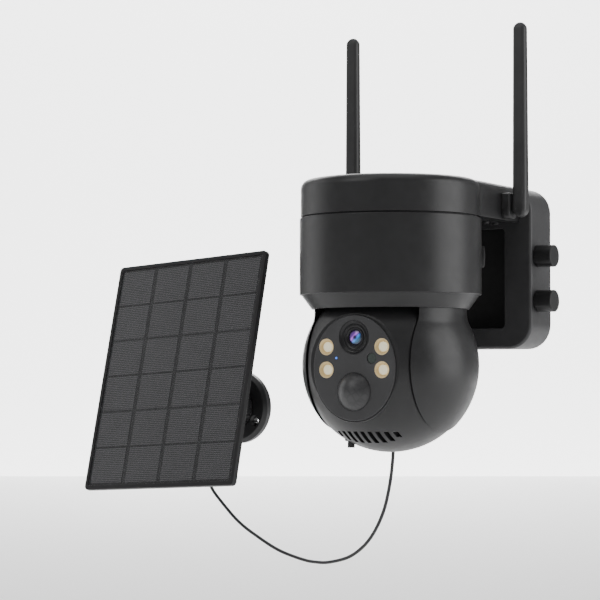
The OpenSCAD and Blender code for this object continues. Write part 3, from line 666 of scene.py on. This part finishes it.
def cover_ring(inset, z, back_inset=0.0):
    """The cover's outline at a height: round front, hollow blends, tapered arm, straight back."""
    lean = math.atan2(ARM_FRONT.x - ARM_BACK.x, ARM_BACK.y - ARM_FRONT.y)
    normal = Vector((math.cos(lean), math.sin(lean)))
    along = Vector((-math.sin(lean), math.cos(lean)))
    reach = normal.dot(ARM_FRONT)
    # the blend's centre is one blend radius outside both the round front and the arm's side
    run = math.sqrt((COVER_R + ARM_BLEND_R) ** 2 - (reach + ARM_BLEND_R) ** 2)
    centre = normal * (reach + ARM_BLEND_R) + along * run
    meet = math.degrees(math.atan2(centre.y, centre.x))
    half = [Vector(p) for p in arc(COVER_R - inset, -90, meet, 56)]
    end = 180 + math.degrees(lean)
    half += [Vector(p) for p in arc(ARM_BLEND_R + inset, 180 + meet, end, 7, centre)][1:]
    back_y = ARM_BACK.y - back_inset
    x_back = (reach - inset - normal.y * back_y) / normal.x
    start = half[-1]
    finish = Vector((x_back, back_y))
    half += [start.lerp(finish, s / 6) for s in range(1, 7)]
    ring = half + [Vector((x_back * (1 - s / 4), back_y)) for s in range(1, 8)]
    ring += [Vector((-p.x, p.y)) for p in reversed(half[1:])]
    return [(p.x, p.y, z) for p in ring]


def top_cover():
    f = COVER_FILLET
    rings = [cover_ring(WALL, COVER_TOP - WALL, WALL), cover_ring(WALL, COVER_BOTTOM, WALL),
             cover_ring(0.4, COVER_BOTTOM), cover_ring(0.1, COVER_BOTTOM + 0.15),
             cover_ring(0, COVER_BOTTOM + 0.4)]
    rings += [cover_ring(f * (1 - cos), COVER_TOP - f + f * sin) for sin, cos in quarter(8)]
    make("cover_moulding", loft(rings), AT_DRUM, ROOT, HOUSING, ["top_cover"], 30)


def drum_shell():
    """Drum, cone below it and round opening for the yoke's neck, with a button and a socket hole."""
    opening = NECK_R + 0.35
    inner = DRUM_R - WALL
    profile = rounded([
        (DRUM_R, DRUM_TOP), (DRUM_R, DRUM_FLOOR), (DRUM_R - 1, DRUM_FLOOR),
        (NECK_R + 1.4, CONE_BOTTOM), (opening, CONE_BOTTOM), (opening, DRUM_INNER_FLOOR),
        (inner, DRUM_INNER_FLOOR), (inner, DRUM_TOP)], [0.45, 0.5, 0.25, 0.5, 0.15, 0.3, 0.3, 0.3], 4)
    drum = object_of("drum_moulding", lathe(profile, 192), AT_DRUM)
    through_wall = (40, 60)
    cut(drum, cylinder(BUTTON_R + 0.3, *through_wall), on_drum_wall(BUTTON_ANGLE, BUTTON_Z))
    cut(drum, cylinder(SOCKET_HOLE_R, *through_wall), on_drum_wall(-SOCKET_ANGLE, SOCKET_Z))
    finished(drum, ROOT, HOUSING, ["drum_shell"], 30)


def bracket_box():
    """Open-backed box with a window; its rings run forward outside it and back inside it."""
    middle = (WINDOW_TOP + WINDOW_BOTTOM) / 2
    window_h = WINDOW_TOP - WINDOW_BOTTOM

    def window(grow, z):
        ring = rect_ring(WINDOW_W + 2 * grow, window_h + 2 * grow, WINDOW_R + grow, z)
        return [(x, y + middle, z) for x, y, z in ring]

    def outer(inset, z):
        return rect_ring(BOX_W - 2 * inset, BOX_H - 2 * inset, BOX_R - inset, z)

    f = 1.8
    front = [outer(f * (1 - cos), BOX_D - f + f * sin) for sin, cos in quarter(6)]
    rings = [outer(0.3, 0), outer(0, 0.3), *front, window(0.5, BOX_D), window(0.15, BOX_D - 0.15),
             window(0, BOX_D - 0.5), window(0, BOX_D - BOX_WALL), outer(BOX_WALL, BOX_D - BOX_WALL),
             outer(BOX_WALL, 0), outer(0.3, 0)]
    make("box_moulding", loft(rings, capped=False), turn(90, "X"), ROOT, BOX_PAINTED_FILL,
         ["bracket_box"], 30)


def clamp_knobs():
    profile = rounded([(0, 0.3), (KNOB_R, 0.3), (KNOB_R, KNOB_LEN), (0, KNOB_LEN)],
                      [0, 0.3, 0.5, 0], 4)
    for name, place in KNOBS.items():
        knob = joined(lathe(profile, 72), cylinder(SHAFT_R, -SHAFT_LEN, 0.4))
        matrix = Matrix.Translation((BOX_W / 2, place.y, place.z)) @ turn(90, "Y")
        make(f"knob_{name}", knob, matrix, f"clamp_knob_{name}", KNOB,
             [f"clamp_knob_{name}"], 35)


def antennas():
    """Flat-sided whips with a round tip and a round foot on the hinge pin."""
    corner, count = 2.2, 6
    rings = [rect_ring(8.2 * sin, 7.2 * sin, 1.9, -FOOT_DROP * cos, count)
             for sin, cos in quarter(8)[1:]]
    rings += [rect_ring(w, d, corner, z, count)
              for z, w, d in ((4, 8.2, 7.2), (12, 8.1, 6.6), (40, 7.9, 6.3), (70, 7.65, 6.05))]
    rings += [rect_ring(max(2 * TIP_R * cos, 0.25), max(5.8 * cos, 0.25), corner,
                        ANTENNA_LEN - TIP_R + TIP_R * sin, count) for sin, cos in quarter(8)]
    for side, pin in ANTENNA_PINS.items():
        make(f"whip_{side}", loft(rings), Matrix.Translation(pin), f"antenna_{side}",
             ANTENNA, [f"antenna_{side}"], 50)


def power_button():
    """Round cap with a sunk top, and a flange that keeps it behind the drum's wall."""
    top = DRUM_R + 1.6
    flange_r, flange_start, flange_end = 7.2, 44.4, 46.1
    profile = rounded([(0, flange_start), (flange_r, flange_start), (flange_r, flange_end),
                       (BUTTON_R, flange_end), (BUTTON_R, top), (4.6, top), (4.3, top - 0.35),
                       (0, top - 0.35)], [0, 0, 0, 0, 0.8, 0.2, 0.2, 0], 4)
    make("button_cap", lathe(profile, 64), on_drum_wall(BUTTON_ANGLE, BUTTON_Z), "power_button",
         RUBBER, ["power_button"], 35)


# ---------------------------------------------------------------- yoke and head

def yoke():
    """Two ball-shaped cheeks hollowed from inside, under a neck that blends into them."""
    blend_r = 14.0
    blend_z = math.sqrt((YOKE_R + blend_r) ** 2 - (NECK_R + blend_r) ** 2)
    meet = math.degrees(math.atan2(blend_z, NECK_R + blend_r))
    top = -BALL.z - 14.2
    bore_r, bore_bottom = NECK_R - 2.5, 28
    profile = [(0, -YOKE_R)] + arc(YOKE_R, -88, meet, 72)
    profile += arc(blend_r, 180 + meet, 180, 10, (NECK_R + blend_r, blend_z))[1:]
    profile += [(NECK_R, top), (bore_r, top), (bore_r, bore_bottom), (0, bore_bottom)]
    shell = object_of("yoke_moulding", lathe(profile, 192), AT_BALL)
    slice_top = -BALL.z + CONE_BOTTOM + 0.4
    cut(shell, box((-CHEEK_X, -60, -60), (CHEEK_X, 60, slice_top)), AT_BALL)
    hollow = [(0, 30), (31.5, 30)] + arc(YOKE_R - WALL, 46.5, 88, 12) + [(0, YOKE_R - WALL)]
    for side in (-1, 1):
        cut(shell, lathe(hollow, 96), AT_BALL @ turn(90 * side, "Y"))
    soften(shell, 0.45, 40)
    applied(shell)
    finished(shell, "yoke", YOKE, ["yoke_shell"], 32)


def head_outline():
    """The ball between its two flat sides, with a small chamfer where they meet."""
    edge = math.degrees(math.asin(HEAD_HALF_W / HEAD_R))
    rim = HEAD_R * math.cos(math.radians(edge))
    corner = [(0, HEAD_HALF_W), (rim - 0.35, HEAD_HALF_W), (rim - 0.05, HEAD_HALF_W - 0.28)]
    mirrored = [(r, -z) for r, z in reversed(corner)]
    return corner + arc(HEAD_R, edge - 1.2, -edge + 1.2, 64) + mirrored


def head_hollow():
    r = HEAD_R - WALL
    half = HEAD_HALF_W - 2
    limit = math.degrees(math.asin(half / r))
    return [(0, half)] + arc(r, limit, -limit, 40) + [(0, -half)]


def face_loft(*grows_and_heights):
    """A solid of ellipses, each larger than the face by its grow and at its height on it."""
    return loft([ellipse_ring(FACE_A + grow, FACE_B + grow, z) for grow, z in grows_and_heights])


def vent_height(i):
    return 6.2 - 3.4 * (abs(i) / 4) ** 3.4


def head():
    """Two shells; the front one has a raised rim round the face, the vents and the card slot."""
    reach = 60
    across = AT_BALL @ turn(90, "Y")
    front = object_of("head_front", lathe(head_outline(), 192), across)
    # the ball's front is planed off, and the rim that the face sits in is added to it
    cut(front, cylinder(40, -0.8, 12), ON_FACE)
    add(front, face_loft((0.9, -11), (0.9, -1.2), (0.75, -0.9), (0.5, -0.8)), ON_FACE)
    cut(front, lathe(head_hollow(), 128), across)
    cut(front, box((-reach, HEAD_SPLIT_Y, -reach), (reach, reach, reach)), AT_BALL)
    cut(front, face_loft((0.15, -FACE_T), (0.15, 12)), ON_FACE)
    cut(front, face_loft((-2, -20), (-2, 4)), ON_FACE)
    slots = [box((i * VENT_PITCH - VENT_W / 2, -45, VENT_TOP - vent_height(i)),
                 (i * VENT_PITCH + VENT_W / 2, -10, VENT_TOP)) for i in range(-4, 5)]
    cut(front, joined(*slots), AT_BALL)
    cut(front, cylinder(PIVOT_HOLE_R, -40, 40), across)
    cut(front, box(*CARD_SLOT), AT_BALL)

    rear = object_of("head_rear", lathe(head_outline(), 192), across)
    cut(rear, lathe(head_hollow(), 128), across)
    cut(rear, box((-reach, -reach, -reach), (reach, HEAD_SPLIT_Y + 0.25, reach)), AT_BALL)

    for shell, node in ((front, "head_front_shell"), (rear, "head_rear_shell")):
        soften(shell, 0.22, 42)
        applied(shell)
        finished(shell, "head", YOKE, [node], 32)


def face():
    """Plate with a rounded edge, and holes for all that looks out of it."""
    outline = face_loft((0, -FACE_T), (0, -0.6), (-0.12, -0.25), (-0.35, -0.06), (-0.7, 0))
    plate = object_of("face_moulding", outline, ON_FACE)

    def hole(u, v, r, depth=FACE_T + 1):
        cut(plate, cylinder(r, -depth, 3, 72), ON_FACE @ Matrix.Translation((u, v, 0)))

    hole(0, LENS_V, BARREL_R + 0.05)
    for u, v in LED_PLACES:
        hole(u, v, LED_R + 0.3)
    hole(*SENSOR_UV, SENSOR_R, 1.2)
    hole(*INDICATOR_UV, INDICATOR_R)
    hole(0, PIR_V, PIR_R + 0.1)
    finished(plate, "head", FACE, ["face_plate"], 35)


def lens():
    """Stepped black rings round a small coated element."""
    at = ON_FACE @ Matrix.Translation((0, LENS_V, 0))
    bore, back = 4.1, -20
    barrel = rounded([(BARREL_R, -FACE_T), (BARREL_R, -0.1), (8.75, -0.05), (8.0, -0.75),
                      (7.3, -0.95), (6.9, -0.55), (6.5, -0.5), (6.2, -1.0), (5.5, -1.25),
                      (5.3, -0.9), (4.9, -0.85), (4.45, -1.5), (bore, -1.5), (bore, back),
                      (LENS_R, back), (LENS_R, -FACE_T)], 0.1, 3)
    make("lens_tube", lathe(barrel, 96), at, "head", BARREL, ["lens_barrel"], 40)
    glass_r, rim_z, bulge = 4.05, -2.2, 1.2
    dome = [(glass_r * math.cos(math.radians(a)), rim_z + bulge * math.sin(math.radians(a)))
            for a in range(0, 90, 10)]
    outline = [(0, -6), (glass_r, -6)] + dome + [(0, rim_z + bulge)]
    glass = object_of("lens_element", lathe(outline, 64), at)
    lay_uvs(glass, LENS_UVS, at)
    finished(glass, "head", LENS, ["lens_glass"], 60)


def lamps():
    cup = rounded([(LED_R + 0.25, -3.4), (LED_R + 0.25, 0), (LED_R - 0.1, 0.05), (LED_R - 0.3, -0.5),
                   (3.45, -2.1), (2.75, -2.2), (2.75, -3.4)], 0.12, 2)
    dome = rounded([(0, -2.85), (2.65, -2.85), (2.65, -1.35), (0, -1.2)], [0, 0, 0.3, 0], 3)
    places = [Matrix.Translation((u, v, 0)) for u, v in LED_PLACES]
    cups = joined(*[moved(lathe(cup, 56), place) for place in places])
    domes = joined(*[moved(lathe(dome, 48), place) for place in places])
    make("lamp_cups", cups, ON_FACE, "head", CUP, ["led_reflectors"], 50)
    make("lamp_domes", domes, ON_FACE, "head", LAMP, ["led_emitters"], 60)


def motion_dome():
    """Cap of a hollow ball on a short skirt."""
    wall = 0.9
    r = (PIR_R ** 2 + PIR_RISE ** 2) / (2 * PIR_RISE)
    middle = (0, PIR_RISE - r)
    reach = math.degrees(math.asin(PIR_R / r))
    outer = arc(r, 90 - reach, 90, 22, middle)
    inner = arc(r - wall, 90, 90 - reach + 1, 16, middle)
    profile = [(PIR_R, -FACE_T)] + outer[:-1] + [(0, PIR_RISE), (0, PIR_RISE - wall)] + inner[1:]
    profile += [(PIR_R - 1.1, -FACE_T)]
    make("motion_dome", lathe(profile, 96), ON_FACE @ Matrix.Translation((0, PIR_V, 0)), "head",
         PIR, ["pir_lens"], 60)


# ---------------------------------------------------------------- solar panel

def panel_tray():
    """Flat tray with a soft rim round the pocket that the cells lie in."""
    def ring(inset, z):
        return rect_ring(PANEL_W - 2 * inset, PANEL_H - 2 * inset, max(2.5 - inset, 0.8), z, 5)

    lip = FRAME_LIP
    rings = [ring(0.8, -PANEL_T), ring(0.25, -PANEL_T + 0.2), ring(0, -PANEL_T + 0.8),
             ring(0, -0.6), ring(0.18, -0.18), ring(0.6, 0), ring(lip - 0.4, 0),
             ring(lip - 0.1, -0.1), ring(lip, -0.4), ring(lip, -POCKET)]
    make("panel_moulding", loft(rings), ON_PANEL, "panel", TRAY, ["panel_frame"], 35)


def spaced(count, field, gap):
    """The width of each of a row of cells that fill a field, and the places of their middles."""
    width = (field - (count - 1) * gap) / count
    return width, [-field / 2 + width / 2 + i * (width + gap) for i in range(count)]


def solar_cells():
    """Thin cells in columns and rows, with UVs for their printed lines."""
    w, columns = spaced(CELL_COLUMNS, PANEL_W - 2 * (FRAME_LIP + CELL_MARGIN), COLUMN_GAP)
    h, rows = spaced(CELL_ROWS, PANEL_H - 2 * (FRAME_LIP + CELL_MARGIN), ROW_GAP)
    cell = loft([rect_ring(w - 2 * inset, h - 2 * inset, CELL_R, -POCKET + up, 2)
                 for inset, up in ((0, 0.5), (0, 0.71), (0.05, 0.74))])
    cells = joined(*[moved(cell, Matrix.Translation((x, y, 0))) for x in columns for y in rows])
    obj = object_of("cell_plates", cells, ON_PANEL)
    lay_uvs(obj, CELL_UVS, ON_PANEL)
    finished(obj, "panel", CELLS, ["solar_cells"], 30)


def wall_base():
    """Round flange with three countersunk screw holes, and a cup that holds the ball's liner."""
    cup_top = -PANEL_BALL.y
    profile = rounded([(0, 0), (BASE_R, 0), (BASE_R, BASE_T - 2.2), (BASE_R - 2.2, BASE_T),
                       (CUP_R + 1.2, BASE_T), (CUP_R, BASE_T + 1), (CUP_R, cup_top), (0, cup_top)],
                      [0, 0.4, 0.8, 0.7, 1, 1, 0.3, 0], 5)
    base = object_of("base_moulding", lathe(profile, 128), ON_BASE)
    screw_hole = [(0, -1), (1.7, -1), (1.7, 4.6), (3.3, BASE_T), (3.3, BASE_T + 1), (0, BASE_T + 1)]
    for angle in (90, 210, 330):
        at = ON_BASE @ turn(angle, "Z") @ Matrix.Translation((BASE_PCD / 2, 0, 0))
        cut(base, lathe(screw_hole, 48), at)
    bowl = [(0, cup_top - BOWL_R)] + arc(BOWL_R, -85, 0, 14, (0, cup_top))
    bowl += [(BOWL_R, cup_top + 1), (0, cup_top + 1)]
    cut(base, lathe(bowl, 64), ON_BASE)
    finished(base, ROOT, BRACKET, ["panel_base"], 35)


def stem_and_boss():
    """Ball, waisted stem and the round boss behind the panel, along the panel's own axis."""
    reach = PANEL_REACH - PANEL_T
    out = AT_PANEL @ turn(90, "X")
    stem = [(0, -STEM_BALL_R)] + arc(STEM_BALL_R, -84, 69, 24) + [(2.8, 8.2), (2.8, 14)]
    stem += arc(7, -60, 0, 5, (-2, 20.5)) + [(5, reach - 7.5), (5.9, reach - 6.9), (0, reach - 6.9)]
    make("stem_moulding", lathe(stem, 64), out, "panel", BRACKET, ["ball_stud"], 35)
    boss = rounded([(0, reach - 7), (9.5, reach - 7), (12.6, reach - 5.4), (BOSS_R, reach - 3),
                    (BOSS_R, reach), (0, reach)], [0, 1.4, 2, 1, 0.2, 0], 4)
    make("boss_moulding", lathe(boss, 72), out, "panel", BRACKET,
         ["panel_boss"], 35)


def cable_end():
    """Ribbed strain relief on the rim of the wall base."""
    at = (Matrix.Translation((PANEL_BALL.x, RELIEF_Y, PANEL_BALL.z))
          @ turn(90 - RELIEF_ANGLE, "Y"))
    end = BASE_R + RELIEF_LEN
    profile = [(0, BASE_R - 1), (2.85, BASE_R - 1), (2.85, BASE_R + 1.2)]
    for i in range(4):
        z = BASE_R + 1.5 + i * 1.6
        r = 2.6 - i * 0.28
        profile += [(r - 0.35, z), (r - 0.35, z + 0.35), (r, z + 0.5), (r - 0.05, z + 1.15)]
    profile += [(1.35, end), (0, end)]
    make("relief_ribs", lathe(profile, 48), at, ROOT, RUBBER, ["cable_relief"], 40)


def charge_plug():
    """Right-angle plug: collar, barrel, round elbow and a ribbed tail that the lead leaves."""
    pin_r, collar_r, barrel_r = 2.7, 4.9, 4.4
    barrel = rounded([(0, 39), (pin_r, 39), (pin_r, DRUM_R + 0.2), (collar_r, DRUM_R + 0.2),
                      (collar_r, DRUM_R + 1.4), (barrel_r, DRUM_R + 1.8), (barrel_r, PLUG_REACH)],
                     [0, 0.3, 0, 0.3, 0.3, 0.3, 0], 3)
    barrel += arc(barrel_r, 10, 80, 6, (0, PLUG_REACH)) + [(0, PLUG_REACH + barrel_r)]
    tail = [(0, 0), (1.55, 0)]
    for i in range(4):
        z = 0.4 + i * 1.7
        r = 2.0 + i * 0.3
        tail += [(r, z), (r + 0.05, z + 0.9), (r - 0.3, z + 1.1), (r - 0.3, z + 1.5)]
    tail += [(3.4, 7.4), (4.1, 9), (4.1, SOCKET_Z), (0, SOCKET_Z)]
    body = object_of("plug_moulding", lathe(barrel, 64), on_drum_wall(-SOCKET_ANGLE, SOCKET_Z))
    add(body, lathe(tail, 56), Matrix.Translation(CABLE_ROUTE[0]))
    return finished(body, ROOT, RUBBER, ["charge_plug"], 40)


plug = charge_plug()
cable.data.materials.append(JACKET)
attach(cable, ROOT)
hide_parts("solar_cable")

top_cover()
drum_shell()
bracket_box()
clamp_knobs()
antennas()
power_button()
yoke()
head()
face()
lens()
lamps()
motion_dome()
panel_tray()
solar_cells()
wall_base()
stem_and_boss()
cable_end()


# ---------------------------------------------------------------- CAD nodes that stay as they are

def paint(material, *names, edge=0.0):
    for name in names:
        obj = frame["nodes"][name]
        obj.data.materials.clear()
        obj.data.materials.append(material)
        if edge:
            soften(obj, edge)


paint(HOUSING, "arm_floor")
paint(PLATE, "wall_plate", edge=0.4)
paint(RUBBER, "cover_gasket", "charge_socket", "card_cover", edge=0.2)
paint(ANTENNA, "antenna_mount_left", "antenna_mount_right", edge=0.5)
paint(STEEL, "crown_screws")
paint(BLACK_STEEL, "arm_screws", "bracket_screws", "antenna_pins", edge=0.1)
paint(INNER, "motor_deck", "battery_cradle", "pan_crown", "speaker", "button_switch")
paint(YOKE, "cheek_plate_left", "cheek_plate_right", edge=0.2)
paint(NYLON, "pan_pinion", "pan_gear", "tilt_gear", "tilt_pinion", "pan_washer", "swivel_liner")
paint(CAN, "pan_motor", "tilt_motor", "pir_sensor")
paint(BOARD, "main_board", "sensor_board")
paint(WRAP, "battery_cells")
paint(INDICATOR, "indicator_light")
paint(SENSOR, "light_sensor", edge=0.15)
paint(BRACKET, "lock_collar", edge=0.3)
paint(BACKING, "cell_backing")
paint(GLASS, "panel_glass")


# ---------------------------------------------------------------- stage and light

def area_light(name, place, target, power, size, size_y=None):
    data = bpy.data.lights.new(name, "AREA")
    data.shape = "RECTANGLE"
    data.size = size
    data.size_y = size_y or size
    data.energy = power
    light = bpy.data.objects.new(name, data)
    light.location = place
    light.rotation_euler = (Vector(target) - Vector(place)).to_track_quat("-Z", "Y").to_euler()
    bpy.context.scene.collection.objects.link(light)


def stage_piece(name, solid, matrix, roughness, emission):
    """A plain pale slab of the studio, with some light of its own."""
    slab = object_of(name, solid, matrix)
    material, _, shader = node_tree(name)
    shader.inputs["Base Color"].default_value = (*grey(0.93), 1)
    shader.inputs["Roughness"].default_value = roughness
    glow(shader, grey(1), emission)
    slab.data.materials.append(material)


middle = (cad_low + cad_high) / 2
FLOOR_DROP = 0.09
floor_z = cad_low.z - FLOOR_DROP
floor_at = Matrix.Translation((0, 0, floor_z / MM))
stage_piece("floor", box((-4000, -4000, 0), (4000, 4000, -10)), floor_at, 0.9, 0.15)

area_light("key", (-0.5, -1.5, 1.1), middle, power=5, size=1.0)
area_light("right_panel", (1.2, 0.35, 0.15), middle, power=11, size=1.0, size_y=1.5)
area_light("left_panel", (-1.3, -0.25, 0.15), middle, power=3.2, size=0.8, size_y=1.4)
area_light("top", (0.0, -0.3, 1.4), middle, power=5, size=1.4)
area_light("far_floor", (-1.3, 1.9, 1.4), (-1.3, 1.9, 0), power=75, size=2.2)

# bright, square to the camera and no wider than its view, so the black sides don't mirror it
backdrop_at = Matrix.Translation((-1660, 2470, 0)) @ turn(CAMERA_PAN, "Z")
stage_piece("backdrop", box((-950, 0, floor_z / MM), (950, 10, 1100)), backdrop_at, 0.5, 2.5)

world = bpy.data.worlds.new("studio")
world.use_nodes = True
background = world.node_tree.nodes["Background"]
background.inputs["Color"].default_value = (1, 1, 1, 1)
background.inputs["Strength"].default_value = 0.3
bpy.context.scene.world = world
